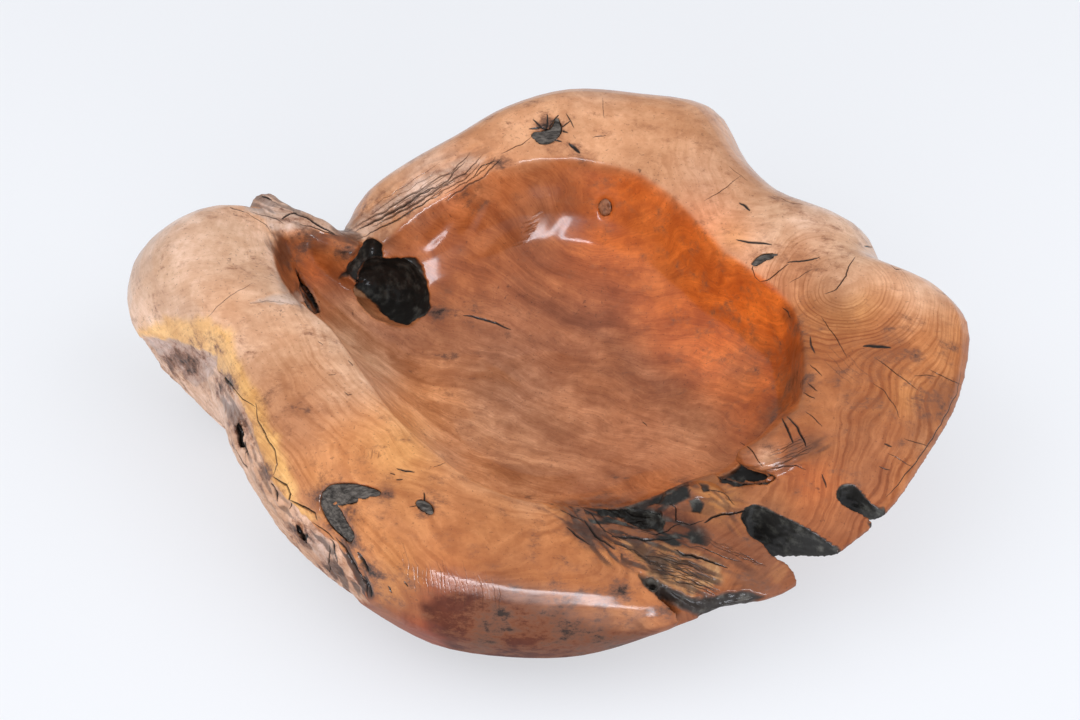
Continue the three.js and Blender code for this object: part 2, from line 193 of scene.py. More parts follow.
# Where dark stains mottle the wood: place and radius in pixels of the photograph, and how much.
STAINED = [
    # in front of the hollow and on the slab
    (600, 522, 34, 0.8), (640, 545, 34, 0.8), (676, 500, 24, 0.7), (700, 556, 34, 0.6),
    (740, 500, 24, 0.5), (752, 576, 30, 0.7), (575, 512, 22, 0.7), (545, 540, 26, 0.5),
    (560, 560, 30, 0.5), (528, 500, 14, 0.4),
    # the roll
    (560, 618, 44, 1.05), (510, 600, 30, 0.8), (620, 606, 40, 0.9), (600, 640, 40, 1.1),
    (660, 612, 24, 0.8), (480, 640, 30, 1.1), (500, 615, 26, 1.1), (400, 595, 24, 0.6),
    (365, 575, 20, 1.1), (352, 545, 16, 1.1), (322, 494, 12, 1.3), (386, 496, 12, 1.1),
    (330, 520, 12, 1.0), (352, 512, 14, 0.9), (425, 507, 12, 1.2),
    # the hollow
    (800, 330, 14, 0.8), (798, 380, 22, 1.1), (776, 410, 18, 0.8), (770, 350, 24, 0.5),
    (470, 180, 30, 0.5), (700, 250, 40, 0.25), (745, 320, 40, 0.25), (395, 300, 20, 0.5),
    (440, 312, 22, 0.7), (500, 345, 24, 0.5), (450, 350, 20, 0.4), (600, 210, 24, 0.3),
    # the horn and the wall under it
    (300, 246, 22, 0.9), (345, 245, 18, 0.9), (290, 262, 12, 0.8), (300, 215, 26, 0.5),
    (262, 196, 12, 0.4),
    # the left flank and rim
    (225, 385, 16, 1.1), (240, 430, 18, 1.0), (262, 470, 14, 0.9), (300, 535, 18, 1.0),
    (330, 575, 20, 0.9), (180, 365, 26, 1.0), (300, 408, 20, 0.7), (338, 488, 18, 0.9),
    (285, 385, 20, 0.5), (215, 345, 14, 0.6), (262, 400, 14, 0.5), (380, 490, 20, 0.5),
    (425, 500, 18, 0.5),
    # back lobe and right lobe
    (360, 212, 20, 0.6), (400, 205, 16, 0.6), (548, 128, 16, 1.2), (576, 150, 12, 1.0),
    (500, 160, 16, 0.7), (790, 205, 16, 0.6), (800, 262, 22, 0.6), (830, 265, 30, 0.5),
    (800, 452, 16, 0.9), (775, 444, 18, 0.6), (846, 480, 18, 0.6), (900, 350, 30, 0.6),
    (935, 405, 24, 0.9), (860, 400, 40, 0.4), (870, 540, 20, 0.8), (760, 540, 24, 0.7),
    (945, 350, 16, 0.6), (905, 440, 20, 0.5),
]

# Gnarled places, with strands of sound wood between dark furrows: half width in pixels of the photograph,
# how gnarled, how black the furrows are, and the way the strands run.
GNARLED = [
    # in front of the hollow
    (12, 1.0, 0.5, [(554, 500), (570, 510), (588, 528), (612, 552)]),
    (16, 1.0, 1.0, [(598, 512), (626, 519), (656, 530), (692, 542)]),
    (11, 0.9, 1.0, [(622, 512), (650, 505), (682, 488)]),
    (9, 0.7, 0.3, [(690, 486), (712, 494), (728, 512), (740, 528)]),
    (16, 0.8, 0.7, [(624, 546), (655, 560), (704, 580)]),
    (10, 0.5, 0.3, [(690, 545), (720, 558), (748, 572)]),
    (8, 0.8, 0.8, [(676, 592), (708, 606), (744, 601)]),
    (12, 0.6, 0.2, [(688, 500), (715, 505), (745, 513)]),
    (9, 0.5, 0.3, [(735, 482), (762, 471), (798, 457), (822, 444)]),
    (9, 0.5, 0.2, [(740, 588), (768, 582), (786, 566)]),
    (7, 0.6, 0.3, [(858, 546), (874, 536), (882, 522)]),
    # the horn and the wall under it
    (11, 0.65, 0.4, [(248, 194), (275, 207), (310, 220), (352, 236)]),
    (12, 0.6, 0.3, [(278, 240), (288, 262), (302, 298)]),
    # the back lobe's left flank
    (15, 0.5, 0.1, [(352, 228), (390, 202), (432, 177), (478, 157)]),
    # the left flank
    (13, 0.5, 0.2, [(148, 345), (178, 362), (206, 382)]),
    (9, 0.7, 0.4, [(224, 402), (240, 428), (250, 456)]),
    (8, 0.6, 0.5, [(254, 470), (272, 500), (300, 533)]),
    (9, 0.8, 0.6, [(308, 540), (330, 561), (350, 592)]),
    (7, 0.9, 0.8, [(344, 544), (356, 565), (368, 592)]),
]

# Lines that the growth rings run round, in mm: one through each lobe and along each swollen rim.
PITHS = [
    [(-350, 110, 60), (-335, 20, 50), (-290, -60, 50)],
    [(248, 12, 158), (212, 20, 0)],
    [(-250, -40, 110), (-205, -130, 100), (-120, -205, 85), (-10, -245, 70), (60, -240, 60)],
    [(-170, 110, 100), (-80, 185, 110), (20, 215, 120), (120, 195, 115), (175, 130, 110)],
    [(100, -190, 70), (170, -160, 70), (230, -90, 80)],
]
RING_WIDTH = 3.4  # mm
PITH_BLEND = 18  # mm over which the rings of one pith turn into those of the next
KNOT_AT = (38, 150, 118)
ACROSS_GRAIN = (0.42, 0.86, 0.3)
# How strongly the rings show, by azimuth.
RING_STRENGTHS = {
    0: 1.0, 12: 0.6, 22: 0.25, 90: 0.2, 150: 0.15, 180: 0.15, 205: 0.35, 240: 0.5, 280: 0.6, 330: 0.9,
}
# Places where the rings fade: place and radius in pixels of the photograph.
PLAIN = [(850, 262, 44), (850, 281, 22), (925, 285, 34), (180, 245, 50), (240, 290, 50)]

# Cracks and dark marks: half width and depth in mm, then the way they run in the photograph.
CUTS = [
    # left lobe and horn
    (0.9, 1.6, [(230, 207), (245, 212)]),
    (0.5, 1.2, [(245, 212), (257, 219), (266, 225), (273, 234)]),
    (0.35, 0.5, [(207, 317), (215, 309), (224, 300), (238, 291), (254, 283)]),
    (0.3, 0.4, [(269, 243), (276, 256), (287, 274)]),
    (0.3, 0.4, [(264, 240), (272, 252), (281, 268)]),
    (0.4, 0.6, [(252, 303), (273, 300), (292, 303), (304, 305)]),
    (1.1, 2.0, [(293, 212), (303, 216), (314, 222), (324, 228), (335, 234)]),
    (1.0, 1.4, [(282, 219), (290, 214), (297, 212)]),
    (0.9, 1.2, [(261, 194), (268, 198), (272, 200)]),
    (0.6, 1.0, [(250, 212), (262, 214), (276, 218), (284, 224)]),
    (0.5, 1.0, [(300, 224), (318, 229), (340, 236)]),
    # the slit's lip
    (0.8, 1.2, [(295, 268), (298, 278), (303, 290), (312, 302), (321, 318)]),
    # left edge
    (0.8, 2.0, [(256, 403), (258, 421), (266, 437), (275, 451), (277, 464), (273, 475)]),
    (1.0, 2.4, [(273, 477), (286, 485), (290, 494), (287, 510)]),
    (1.0, 2.4, [(290, 500), (302, 507), (315, 513), (317, 520)]),
    (1.2, 3.0, [(336, 537), (349, 555), (352, 564), (361, 576), (366, 584), (368, 598)]),
    (0.7, 1.6, [(327, 546), (326, 560), (327, 575)]),
    (0.6, 1.2, [(312, 522), (328, 534), (338, 545)]),
    (0.5, 1.0, [(214, 366), (222, 376), (230, 383), (243, 399), (256, 407)]),
    (0.7, 1.2, [(230, 424), (238, 432), (243, 446), (242, 460)]),
    # black hollows down the left flank
    (1.6, 2.5, [(216, 414), (219, 421)]),
    (2.8, 4.0, [(236, 424), (242, 434), (241, 446), (245, 456)]),
    (1.6, 2.5, [(233, 450), (238, 460), (244, 470)]),
    (1.4, 2.0, [(222, 374), (227, 382), (233, 386)]),
    (2.2, 3.0, [(298, 528), (303, 536), (303, 545)]),
    (1.4, 2.5, [(329, 539), (331, 553), (336, 566)]),
    (2.2, 3.5, [(358, 552), (363, 562), (369, 572)]),
    (1.8, 3.0, [(363, 576), (368, 586), (371, 597)]),
    (1.6, 2.5, [(268, 484), (274, 494), (276, 502)]),
    # left and front rim
    (0.35, 0.5, [(433, 467), (440, 465), (447, 462)]),
    (0.7, 1.2, [(425, 503), (424, 492)]),
    (0.5, 0.8, [(425, 503), (416, 506), (409, 507)]),
    (0.5, 0.8, [(425, 503), (427, 514)]),
    (0.9, 1.0, [(397, 468), (406, 471), (415, 472)]),
    (0.6, 0.8, [(390, 473), (395, 475)]),
    (0.7, 0.8, [(396, 480), (403, 479)]),
    (0.4, 0.6, [(318, 341), (323, 345)]),
    (0.5, 0.6, [(348, 360), (353, 366)]),
    (0.4, 0.6, [(328, 375), (336, 374)]),
    (0.5, 0.6, [(344, 392), (348, 395), (352, 394)]),
    (0.9, 0.8, [(388, 586), (392, 593)]),
    (0.7, 0.8, [(404, 581), (408, 587)]),
    (1.2, 2.0, [(567, 526), (578, 536), (590, 544)]),
    (1.3, 2.4, [(585, 518), (597, 535), (615, 549)]),
    (0.8, 1.6, [(560, 510), (572, 514), (585, 520)]),
    (0.6, 1.0, [(576, 504), (592, 512), (606, 530), (622, 540)]),
    # gnarled wood and slab
    (1.2, 1.6, [(612, 535), (630, 536), (650, 539), (676, 538)]),
    (1.0, 2.2, [(674, 549), (700, 557), (728, 568)]),
    (1.2, 2.4, [(704, 523), (712, 517), (722, 514), (747, 510)]),
    (0.6, 1.0, [(640, 530), (655, 534), (668, 530), (684, 520)]),
    (0.6, 1.2, [(668, 500), (676, 508), (676, 520), (690, 524), (704, 520)]),
    (0.5, 0.8, [(690, 545), (704, 548), (722, 556), (742, 562)]),
    (0.5, 0.8, [(735, 505), (728, 496), (716, 490), (702, 488)]),
    (0.4, 0.6, [(740, 552), (752, 560), (766, 566)]),
    # lump
    (0.9, 1.6, [(782, 418), (788, 430), (793, 444)]),
    (0.9, 1.6, [(787, 416), (798, 427), (803, 438), (807, 447)]),
    (0.5, 1.0, [(806, 411), (814, 418), (822, 427)]),
    (0.5, 1.0, [(740, 442), (748, 448), (754, 454), (763, 467)]),
    (0.5, 0.8, [(770, 470), (784, 466), (796, 466), (806, 470)]),
    # back rim
    (0.4, 0.8, [(531, 137), (522, 144), (512, 149), (501, 153)]),
    (0.5, 1.0, [(472, 178), (482, 166), (491, 162), (497, 161)]),
    (0.9, 1.0, [(545, 134), (547, 124), (547, 114)]),
    (1.1, 1.2, [(529, 129), (541, 127), (552, 133)]),
    (1.0, 1.0, [(549, 129), (554, 121), (559, 115)]),
    (1.1, 1.2, [(539, 139), (550, 138), (562, 142)]),
    (1.1, 1.2, [(551, 130), (560, 131), (568, 133)]),
    (0.9, 1.0, [(545, 131), (538, 124), (533, 119)]),
    (0.8, 1.0, [(553, 134), (563, 126), (571, 121)]),
    (1.6, 1.2, [(569, 143), (577, 150), (580, 153)]),
    (0.35, 0.5, [(603, 97), (604, 118)]),
    (0.5, 0.5, [(593, 137), (606, 135)]),
    (0.6, 0.6, [(566, 113), (574, 128)]),
    # right rim
    (0.4, 0.8, [(704, 201), (715, 195), (728, 186), (741, 176)]),
    (0.4, 0.8, [(729, 166), (738, 174), (748, 181)]),
    (1.3, 0.8, [(739, 203), (745, 206), (750, 211)]),
    (1.2, 0.5, [(736, 240), (748, 242), (760, 243), (772, 245)]),
    (0.9, 1.4, [(773, 253), (763, 256), (754, 262)]),
    (0.5, 1.2, [(754, 262), (752, 269), (755, 277), (760, 282)]),
    (0.6, 1.2, [(760, 282), (767, 280), (780, 271), (789, 264)]),
    (0.9, 0.6, [(787, 263), (803, 260), (820, 257)]),
    (0.35, 0.6, [(789, 283), (801, 276), (814, 268)]),
    (0.6, 1.0, [(856, 257), (848, 267), (846, 276), (836, 289), (824, 294)]),
    (1.6, 0.8, [(863, 347), (876, 346), (891, 348)]),
    (0.4, 0.8, [(821, 316), (827, 324), (833, 333), (842, 347), (847, 358)]),
    (0.5, 1.0, [(876, 358), (885, 364), (896, 373), (918, 390)]),
    (0.5, 0.8, [(929, 370), (944, 377), (966, 386)]),
    (0.4, 0.6, [(914, 376), (926, 375), (937, 377)]),
    (0.4, 0.6, [(873, 383), (884, 391), (896, 409), (900, 418)]),
    (0.5, 0.8, [(810, 364), (816, 370), (822, 376)]),
    (0.5, 0.8, [(807, 383), (818, 391)]),
    (0.5, 0.8, [(803, 392), (815, 399)]),
    (0.4, 0.6, [(904, 438), (916, 442), (929, 447)]),
    (0.4, 0.6, [(888, 453), (900, 460), (913, 467)]),
    (0.5, 0.6, [(879, 466), (890, 470)]),
    (0.8, 0.6, [(884, 444), (892, 447)]),
    (0.7, 0.6, [(822, 474), (826, 488)]),
    (0.5, 0.8, [(772, 195), (787, 201), (803, 205)]),
    (0.9, 0.8, [(864, 246), (874, 247)]),
    (0.6, 1.0, [(887, 262), (896, 269), (911, 269)]),
    (0.8, 0.8, [(810, 336), (811, 345), (815, 353)]),
    (0.6, 0.2, [(961, 372), (956, 394), (946, 415), (933, 438), (916, 462), (898, 484), (886, 497)]),
    # the hollow
    (0.5, 0.4, [(642, 422), (647, 426)]),
    (1.0, 0.6, [(463, 316), (478, 318), (496, 322), (511, 330)]),
    (0.8, 0.6, [(782, 308), (788, 312), (791, 318)]),
]

# Sheaves of near-parallel lines: half width and depth in mm, how dark, the first line, the step to the
# next in pixels and how many there are.
SHEAVES = [
    # grooves along the back lobe's left flank
    (1.2, 2.6, 0.8, [(351, 227), (372, 216), (392, 206), (417, 191), (440, 177)], (4, 3.2), 4),
    (0.7, 1.4, 0.7, [(395, 206), (417, 191), (445, 176), (463, 157)], (6, 1.5), 6),
    (0.5, 0.8, 0.5, [(362, 214), (388, 196), (420, 176), (440, 162)], (5, 2), 6),
    # weathered lines on the horn
    (0.5, 0.8, 0.7, [(256, 206), (270, 210), (286, 216)], (4, -3.5), 4),
    # striations of the lump
    (0.45, 0.5, 0.6, [(777, 465), (795, 458), (815, 449)], (-1, -2.6), 7),
    # ticks on the left rim
    (0.5, 0.4, 0.4, [(366, 448), (364, 458)], (3.4, 0.3), 5),
    # ridges low on the back wall
    (1.2, 0.6, 0.15, [(514, 246), (522, 244), (530, 240)], (2.2, -5.5), 6),
    # fibres on the slab and along the gnarled strand
    (0.4, 0.7, 0.8, [(630, 546), (650, 549), (676, 556), (700, 568)], (1.5, 2.6), 12),
    (0.4, 0.8, 0.8, [(608, 540), (628, 546), (640, 556)], (4, 2.2), 9),
    (0.6, 1.2, 0.9, [(612, 514), (628, 520), (646, 524)], (6, -3.5), 4),
    (0.35, 0.6, 0.6, [(690, 530), (712, 540), (735, 548)], (5, 3), 7),
    # crinkles across the front roll
    (0.4, 0.2, 0.3, [(398, 546), (404, 562), (406, 588)], (4.5, 1.2), 22),
    # marks of the gouge, fine and faint, on the right lobe
    (0.35, 0.3, 0.35, [(818, 352), (836, 372), (852, 384)], (7, -2), 6),
]

# Furrows, half width and depth in mm: broad and shallow, in the wood's own colour.
FURROWS = [
    (9, 1.2, [(420, 250), (440, 232), (452, 214)]),
    (9, 1.2, [(462, 240), (474, 218), (486, 196)]),
    (10, 1.0, [(545, 250), (562, 215), (575, 180)]),
    (8, 1.2, [(463, 318), (485, 322), (512, 334)]),
    (8, 1.0, [(470, 350), (500, 368), (530, 388)]),
    (7, 1.0, [(800, 214), (788, 236), (778, 250)]),
    (8, 1.2, [(560, 500), (590, 520), (620, 545), (640, 575)]),
    (6, 1.5, [(700, 520), (690, 545), (660, 580)]),
]

# The upper edge of the bare left flank, in pixels of the photograph.
FLANK_TOP = [
    (160, 341), (190, 350), (214, 362), (226, 384), (240, 402), (250, 425), (256, 450), (268, 478),
    (286, 500), (308, 522),
]

# Patches that the photograph shows: outline in its pixels, how soft the edge is in pixels, colour, how
# much of it, how far the patch lies under the wood round it and how rough it is, both in mm.
PATCHES = [
    # sapwood along the left edge
    ([(133, 331), (168, 318), (205, 318), (232, 332), (234, 350), (250, 378), (262, 400), (268, 420),
      (284, 455), (292, 478), (300, 505), (318, 518), *reversed(FLANK_TOP), (137, 336)],
     6, SAPWOOD, 0.8, 0, 0),
    # the flank below it, its pale lilac partly painted light
    ([(130, 337), *FLANK_TOP, (335, 545), (352, 575), (368, 604), (345, 598), (320, 580), (286, 550),
      (249, 510), (225, 460), (200, 411), (160, 375)],
     2, LILAC_AND_PAINTED_LIGHT, 0.75, 2.5, 0.9),
    ([(141, 341), (170, 339), (196, 348), (216, 356), (216, 366), (204, 381), (193, 388), (168, 367),
      (149, 348)], 2, FLANK_GREY, 0.9, 1.0, 0.6),
    ([(214, 392), (232, 402), (244, 415), (246, 434), (240, 446), (232, 430), (222, 414)],
     3, FLANK_GREY, 0.8, 2.0, 0.8),
    ([(302, 528), (322, 536), (334, 556), (340, 580), (326, 574), (312, 556), (298, 545)],
     3, FLANK_GREY, 0.7, 1.5, 0.8),
    # the horn
    ([(257, 183), (246, 199), (242, 210), (258, 214), (273, 230), (304, 229), (328, 232), (367, 238),
      (344, 223), (311, 212), (292, 203), (277, 194)], 3, WEATHERED, 0.75, 0, 0.5),
    # stains down the inside of the wall under the horn
    ([(273, 236), (300, 236), (296, 250), (288, 262), (296, 286), (300, 304), (288, 292), (276, 262)],
     8, STAIN, 0.6, 0, 0),
    ([(304, 234), (326, 236), (328, 250), (314, 254), (304, 246)], 5, STAIN, 0.6, 0, 0),
    ([(342, 234), (360, 238), (358, 246), (344, 244)], 4, STAIN, 0.6, 0, 0),
    # the charred pocket, its cleft and the slit
    ([(370, 236), (381, 246), (382, 258), (393, 259), (416, 258), (421, 267), (427, 287), (430, 307),
      (424, 316), (405, 324), (390, 318), (373, 301), (358, 287), (350, 276), (338, 279), (347, 270),
      (356, 258), (365, 243)], 1.6, CHAR, 1, 3, 1.0),
    ([(297, 273), (300, 282), (309, 292), (315, 298), (320, 311), (316, 313), (307, 304), (301, 290)],
     1.6, CHAR, 1, 4, 0.3),
    # a shallow grey wedge on the left lobe
    ([(250, 303), (268, 297), (283, 293), (296, 292), (307, 302), (292, 304)],
     2, WEATHERED, 0.75, 0.8, 0.3),
    # grey strands between the grooves of the back lobe
    ([(347, 228), (380, 205), (420, 180), (462, 157), (486, 156), (455, 180), (420, 200), (385, 222),
      (368, 236)], 5, WEATHERED, 0.6, 0.5, 0.5),
    # dark wood round the gnarled strand, and its black hollows
    ([(556, 502), (600, 498), (640, 498), (668, 500), (700, 528), (700, 545), (660, 548), (620, 542),
      (590, 550), (568, 530)], 6, STAIN, 0.7, 0.5, 0.6),
    ([(603, 510), (623, 503), (633, 503), (648, 507), (660, 512), (666, 520), (660, 530), (646, 528),
      (631, 522), (616, 513)], 1.5, CHAR, 1, 3, 0.8),
    ([(648, 500), (656, 493), (668, 490), (680, 483), (688, 487), (690, 497), (676, 503), (660, 505)],
     1.5, CHAR, 1, 1, 1.4),
    ([(714, 470), (724, 464), (736, 463), (747, 469), (759, 471), (775, 478), (766, 483), (734, 485),
      (722, 481)], 1.5, CHAR, 1, 3, 0.5),
    ([(689, 500), (696, 497), (703, 503), (700, 513), (692, 509)], 1.2, CHAR, 1, 1, 0.2),
    ([(700, 483), (708, 484), (710, 490), (703, 491)], 1.2, CHAR, 0.9, 1.5, 0.4),
    # broken fibres on the front slab, and the black band under it
    ([(621, 540), (660, 543), (690, 550), (719, 563), (722, 582), (690, 594), (668, 592), (650, 575),
      (632, 556)], 4, FIBRE, 0.8, 0.8, 0.9),
    ([(640, 548), (672, 556), (668, 580), (652, 572)], 6, CHAR, 0.7, 0, 0.4),
    ([(676, 594), (700, 598), (742, 592), (764, 596), (742, 612), (701, 620)], 2.5, CHAR, 0.95, 1.5, 0.8),
    # the cleft between the roll's end and the slab
    ([(640, 574), (652, 576), (664, 584), (684, 594), (704, 606), (706, 616), (696, 616), (676, 606),
      (656, 596), (644, 586)], 2, CHAR, 0.95, 1.5, 0.6),
    # the dark underside of the front roll: dark brown wood, darkened further with painted shade
    ([(420, 606), (445, 592), (485, 594), (530, 605), (600, 626), (655, 634), (645, 652), (560, 672),
      (450, 654)], 8, ROLL_BROWN_AND_SHADE, 0.9, 0, 0),
    # darker patches low on the right of the hollow
    ([(786, 306), (794, 312), (792, 322), (784, 320)], 5, STAIN, 0.7, 0, 0),
    ([(796, 334), (808, 348), (806, 392), (780, 424), (752, 440), (776, 398), (786, 362)],
     12, STAIN, 0.6, 0, 0),
    # brown shadow near the right edge, and a grey bloom behind the lump
    ([(940, 380), (962, 376), (958, 404), (930, 436), (912, 424), (926, 396)], 12, BROWN, 0.5, 0, 0),
    ([(786, 446), (812, 436), (824, 446), (806, 460), (782, 470)], 6, UMBER, 0.5, 0, 0.4),
]

# The burnt insides of the pockets, where the camera doesn't see them: middle and radius, in mm.
CHARRED_BALLS = [
    (-132, 96, 80, 31), (-152, 108, 74, 27), (-168, 112, 70, 16), (-148, 101, 114, 13),
    (146, -142, 109, 10), (-146, 94, 66, 18), (-205, 78, 105, 8), (-196, 68, 96, 9), (-188, 54, 90, 6),
    (82, -248, 99, 8), (88, -252, 96, 7),
]
# The openings cut through the rim, in plan, in mm.
NOTCH_EDGE = [(154, -190), (158, -182), (164, -179), (172, -182), (181, -189), (195, -197), (234, -218)]
NOTCH_NEAR_EDGE = [(156, -197), (160, -207), (169, -214), (176, -223), (186, -227)]
SLOT_EDGE = [(226, -177), (231, -171), (240, -171), (248, -178), (254, -184), (262, -186)]
SLOT_NEAR_EDGE = [(229, -181), (235, -186), (250, -190), (256, -195)]
BURNT_RIM = 4  # mm beside them that is burnt too


def smooth(value):
    """0 to 1 with soft ends."""
    value = np.clip(value, 0, 1)
    return value * value * (3 - 2 * value)


def linear(colour):
    """A colour out of 255 as linear light."""
    c = np.array(colour, float) / 255
    return np.where(c <= 0.04045, c / 12.92, ((c + 0.055) / 1.055) ** 2.4)


def round_table(table, degrees):
    """A table by azimuth, read between its entries and round past 360."""
    stops = sorted(table)
    values = np.array([table[s] for s in stops], float).reshape(len(stops), -1)
    x = np.array([stops[-1] - 360, *stops, stops[0] + 360], float)
    y = np.vstack([values[-1], values, values[0]])
    read = np.stack([np.interp(degrees, x, y[:, i]) for i in range(y.shape[1])], 1)
    return read[:, 0] if read.shape[1] == 1 else read


# The photograph's frame

look = (AIM - CAMERA_AT).normalized()
look_right = look.cross(UP).normalized()
look_up = look_right.cross(look)


def photo_ray(u, v):
    ray = look * FOCAL + look_right * (u - PHOTO_WIDTH / 2) - look_up * (v - PHOTO_HEIGHT / 2)
    return ray.normalized()


def in_photo(points):
    """The pixels at which points in metres lie in the photograph."""
    away = points - np.array(CAMERA_AT)
    depth = away @ np.array(look)
    u = PHOTO_WIDTH / 2 + FOCAL * (away @ np.array(look_right)) / depth
    v = PHOTO_HEIGHT / 2 - FOCAL * (away @ np.array(look_up)) / depth
    return np.stack([u, v], 1)


def blend(a, b, share):
    """Each row of a turned into b by its share."""
    return a + (b - a) * share[:, None]


def bell(places, middle, size):
    """1 at the middle, fading out round it."""
    return np.exp(-((places - np.array(middle)) ** 2).sum(1) / size**2)


def off_segment(places, a, b):
    """How far each place lies from a straight line, and how far along it, 0 to 1."""
    t = np.clip(((places - a) @ (b - a)) / ((b - a) @ (b - a)), 0, 1)
    return np.linalg.norm(places - a - t[:, None] * (b - a), axis=1), t


def off_line(places, line):
    """How far each place lies from a bent line."""
    best = np.full(len(places), FAR)
    for a, b in zip(np.array(line, float), np.array(line[1:], float)):
        best = np.minimum(best, off_segment(places, a, b)[0])
    return best


def within(outline, pixels):
    """How far each pixel lies inside an outline, in pixels, negative outside it."""
    closed = [*outline, outline[0]]
    inside = np.zeros(len(pixels), bool)
    for (u0, v0), (u1, v1) in zip(closed, closed[1:]):
        above = (v0 > pixels[:, 1]) != (v1 > pixels[:, 1])
        if v0 != v1:
            crossing = u0 + (pixels[:, 1] - v0) / (v1 - v0) * (u1 - u0)
            inside ^= above & (pixels[:, 0] < crossing)
    away = off_line(pixels, closed)
    return np.where(inside, away, -away)


# Meshes


def triples(collection, name):
    values = np.empty(len(collection) * 3, np.float32)
    collection.foreach_get(name, values)
    return values.reshape(-1, 3).astype(float)


def vertices_of(mesh):
    return triples(mesh.vertices, "co")


def normals_of(mesh):
    return triples(mesh.vertex_normals, "vector")


def set_vertices(mesh, co):
    mesh.vertices.foreach_set("co", co.astype(np.float32).ravel())
    mesh.update()


def fine_copy(node, name, voxel, smoothing):
    """An even, fine mesh of a CAD node's solid, as a new object."""
    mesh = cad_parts[node].data.copy()
    bm = bmesh.new()
    bm.from_mesh(mesh)
    bmesh.ops.remove_doubles(bm, verts=bm.verts, dist=MERGE)
    bm.to_mesh(mesh)
    bm.free()
    mesh.materials.clear()
    piece = bpy.data.objects.new(name, mesh)
    bpy.context.scene.collection.objects.link(piece)
    remesh = piece.modifiers.new("remesh", "REMESH")
    remesh.mode = "VOXEL"
    remesh.voxel_size = voxel
    relax = piece.modifiers.new("relax", "SMOOTH")
    relax.factor = 0.5
    relax.iterations = smoothing
    evaluated = piece.evaluated_get(bpy.context.evaluated_depsgraph_get())
    piece.data = bpy.data.meshes.new_from_object(evaluated)
    piece.data.name = name
    piece.modifiers.clear()
    piece.data.polygons.foreach_set("use_smooth", [True] * len(piece.data.polygons))
    return piece


def refine(mesh, places, reach):
    """Halves the faces whose middle is within reach of one of the places."""
    tree = kdtree.KDTree(len(places))
    for i, place in enumerate(places):
        tree.insert(place, i)
    tree.balance()
    bm = bmesh.new()
    bm.from_mesh(mesh)
    near = [f for f in bm.faces if tree.find(f.calc_center_median())[2] < reach]
    edges = {e for f in near for e in f.edges}
    bmesh.ops.subdivide_edges(bm, edges=list(edges), cuts=1, use_grid_fill=True)
    bmesh.ops.triangulate(bm, faces=[f for f in bm.faces if len(f.verts) > 4])
    for f in bm.faces:
        f.smooth = True
    bm.to_mesh(mesh)
    bm.free()


def surface(mesh):
    return BVHTree.FromPolygons(
        [v.co for v in mesh.vertices], [tuple(p.vertices) for p in mesh.polygons]
    )


def wander(path, step, amount, seed):
    """The path in steps of so many pixels, straying a little from side to side as a crack does."""
    out = []
    for (u0, v0), (u1, v1) in zip(path, path[1:]):
        length = math.hypot(u1 - u0, v1 - v0)
        count = max(1, round(length / step))
        for i in range(count):
            t = i / count
            u, v = u0 + (u1 - u0) * t, v0 + (v1 - v0) * t
            stray = amount * noise.noise(Vector((u * 0.09, v * 0.09, 1.7 * seed)))
            stray += 0.3 * amount * noise.noise(Vector((u * 0.4, v * 0.4, 1.7 * seed)))
            out.append((u - (v1 - v0) / length * stray, v + (u1 - u0) / length * stray))
    out.append(path[-1])
    return out


def carried(skin, pixels):
    """The places where the rays through the pixels meet the wood, leaving out those that miss."""
    hits = [skin.ray_cast(CAMERA_AT, photo_ray(u, v))[0] for u, v in pixels]
    return [h for h in hits if h is not None]


# The bowl

bowl = fine_copy("bowl_body", "root_burr_bowl", VOXEL, SMOOTHING_STEPS)
skin = surface(bowl.data)

lines = [
    (carried(skin, wander(path, LINE_STEP, CUT_STRAY, k)), w * MM, d * MM, min(1, 0.55 + 0.5 * w))
    for k, (w, d, path) in enumerate(CUTS)
]
dice = random.Random(4)
for half_width, depth, dark, path, (du, dv), count in SHEAVES:
    for k in range(count):
        slide = dice.uniform(-0.15, 0.15)
        u0, v0 = path[0]
        u1, v1 = path[-1]
        right, down = k * du + slide * (u1 - u0), k * dv + slide * (v1 - v0)
        moved_path = [(u + right, v + down) for u, v in path]
        pixels = wander(moved_path, LINE_STEP, SHEAF_STRAY, k + len(lines))
        pixels = pixels[int(len(pixels) * dice.uniform(0, 0.3)):]
        size = dice.uniform(0.5, 1.2) * MM
        darkness = dark * dice.uniform(0.6, 1)
        lines.append((carried(skin, pixels), half_width * size, depth * size, darkness))
furrows = [
    (carried(skin, wander(path, FURROW_STEP, 0, 0)), w * MM, d * MM) for w, d, path in FURROWS
]


def field(at, scale, seed):
    """Soft noise over points in metres with that wavelength in mm, about -1 to 1."""
    return np.array([noise.noise(Vector((x, y, z + seed))) for x, y, z in at / (scale * MM)])


def polar(at):
    """Radius in mm and azimuth in degrees of points in metres."""
    return np.hypot(at[:, 0], at[:, 1]) / MM, np.degrees(np.arctan2(at[:, 1], at[:, 0])) % 360


def seen(at, facing, skin):
    """How far the camera sees each point, fading out just past the bowl's outline."""
    radius, azimuth = polar(at)
    in_hollow = radius < round_table(LIP, azimuth) + 5
    to_camera = np.array(CAMERA_AT) - at
    turned = (to_camera * facing).sum(1) / np.linalg.norm(to_camera, axis=1)
    out = smooth((turned + EDGE_FADE) / EDGE_FADE)
    lift = np.where((turned > 0.1) | in_hollow, CLEARANCE, EDGE_CLEARANCE)
    for i in np.nonzero(out > 0)[0]:
        start = Vector(at[i] + facing[i] * lift[i])
        if skin.ray_cast(start, CAMERA_AT - start)[0] is not None:
            out[i] = 0
    return out


def can_be_black(at):
    """0 in the front half of the hollow, which shows just above the black marks on the front rim."""
    radius, azimuth = polar(at)
    on_rim = smooth((radius - round_table(LIP, azimuth)) / 4 + 0.5)
    return np.where(at[:, 1] < -30 * MM, on_rim, 1)


